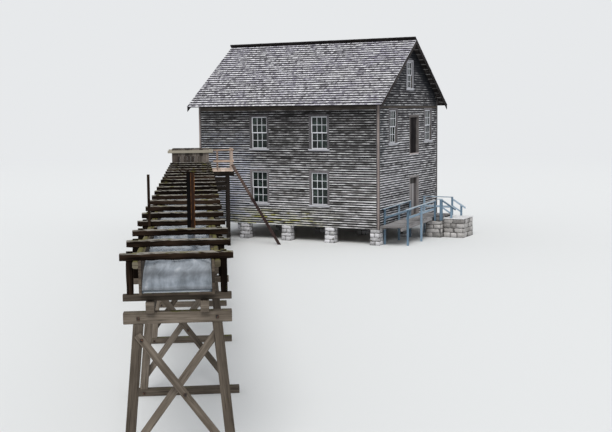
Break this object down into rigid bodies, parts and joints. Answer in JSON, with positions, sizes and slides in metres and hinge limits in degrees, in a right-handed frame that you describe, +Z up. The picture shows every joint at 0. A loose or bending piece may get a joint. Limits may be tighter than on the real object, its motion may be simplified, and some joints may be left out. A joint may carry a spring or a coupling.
{
  "type": "timber frame watermill with wooden flume",
  "caption": "Two-storey boarded mill house on stone piers, with a shingle gable roof, and an open timber flume with cross yokes that feeds a plank penstock beside it.",
  "frame": {"origin": "the house's near corner, at the level of the lowest foot, on the bottom face of its corner pier", "axes": "+X out of the entry gable, +Y along that gable away from the flume, +Z up"},
  "size_m": [21.1534, 39.6135, 10.2077],
  "materials": {
    "fieldstone": "dry-laid grey fieldstone",
    "iron": "rusty black iron",
    "old_timber": "rough sawn and dark with age",
    "floor_boards": "worn plank floor",
    "long_wall_siding": "unpainted clapboard weathered silver grey",
    "gable_siding": "unpainted clapboard weathered grey",
    "brown_trim": "weathered brown trim boards",
    "casing_wood": "weathered grey casing",
    "sash_paint": "pale grey-white paint",
    "window_glass": "old clear glass",
    "door_wood": "grey-brown vertical boards",
    "dark_door": "near-black brown vertical boards",
    "roof_shingles": "split shingles weathered light grey",
    "flume_wood": "wet dark timber with moss",
    "yoke_wood": "dark brown timber, mossy on top",
    "penstock_wood": "wet dark planks",
    "platform_wood": "pinkish tan weathered boards",
    "log_wood": "dark round log",
    "ramp_wood": "grey weathered deck",
    "blue_grey_rail": "blue-grey weathered rails",
    "step_wood": "pale worn step plank"
  },
  "bodies": {
    "mill": {"stone_piers": "fieldstone", "entry_stonework": "fieldstone", "long_sills": "old_timber", "floor_joists": "old_timber", "rafters": "old_timber", "floors": "floor_boards", "front_wall": "long_wall_siding", "back_wall": "long_wall_siding", "gable_walls": "gable_siding", "gable_walls_over_doors": "gable_siding", "gable_peak": "gable_siding", "far_gable_wall": "gable_siding", "corner_boards": "brown_trim", "frieze_and_belt_boards": "brown_trim", "window_casings": "casing_wood", "window_sashes": "sash_paint", "window_glass": "window_glass", "entry_sill": "old_timber", "door_frames": "casing_wood", "door_pintles": "iron", "upper_door": "dark_door", "roof_front": "roof_shingles", "roof_back": "roof_shingles", "barge_boards": "casing_wood", "flume_floor": "flume_wood", "flume_walls": "flume_wood", "side_rails": "flume_wood", "yoke_beams": "yoke_wood", "yoke_posts": "yoke_wood", "yoke_ties": "yoke_wood", "flume_stringers": "flume_wood", "trestle_beams": "flume_wood", "trestle_legs": "flume_wood", "trestle_braces": "flume_wood", "gate_guides": "yoke_wood", "penstock_front": "penstock_wood", "penstock_back": "penstock_wood", "penstock_sides": "penstock_wood", "penstock_floor": "penstock_wood", "penstock_sills": "flume_wood", "penstock_cross_bands": "flume_wood", "penstock_side_bands": "flume_wood", "penstock_ties": "flume_wood", "platform_deck": "platform_wood", "platform_logs": "log_wood", "platform_posts": "platform_wood", "platform_apron": "log_wood", "platform_rails": "platform_wood", "platform_prop": "platform_wood", "ramp_deck": "ramp_wood", "ramp_bearers": "ramp_wood", "landing_deck": "ramp_wood", "entry_posts": "blue_grey_rail", "entry_rails": "blue_grey_rail", "step_tread": "step_wood"},
    "entry_door": {"entry_door": "door_wood", "door_straps": "iron"},
    "gate": {"gate": "yoke_wood"}
  },
  "joints": [
    {"name": "entry_door_hinge", "type": "hinge", "parent": "mill", "child": "entry_door", "pos_m": [-0.165, 4.027, 1.36], "axis": [0, 0, 1], "range_deg": [0, 105]},
    {"name": "gate_slide", "type": "slide", "parent": "mill", "child": "gate", "axis": [0, 0, 1], "range_m": [0, 0.45]}
  ]
}
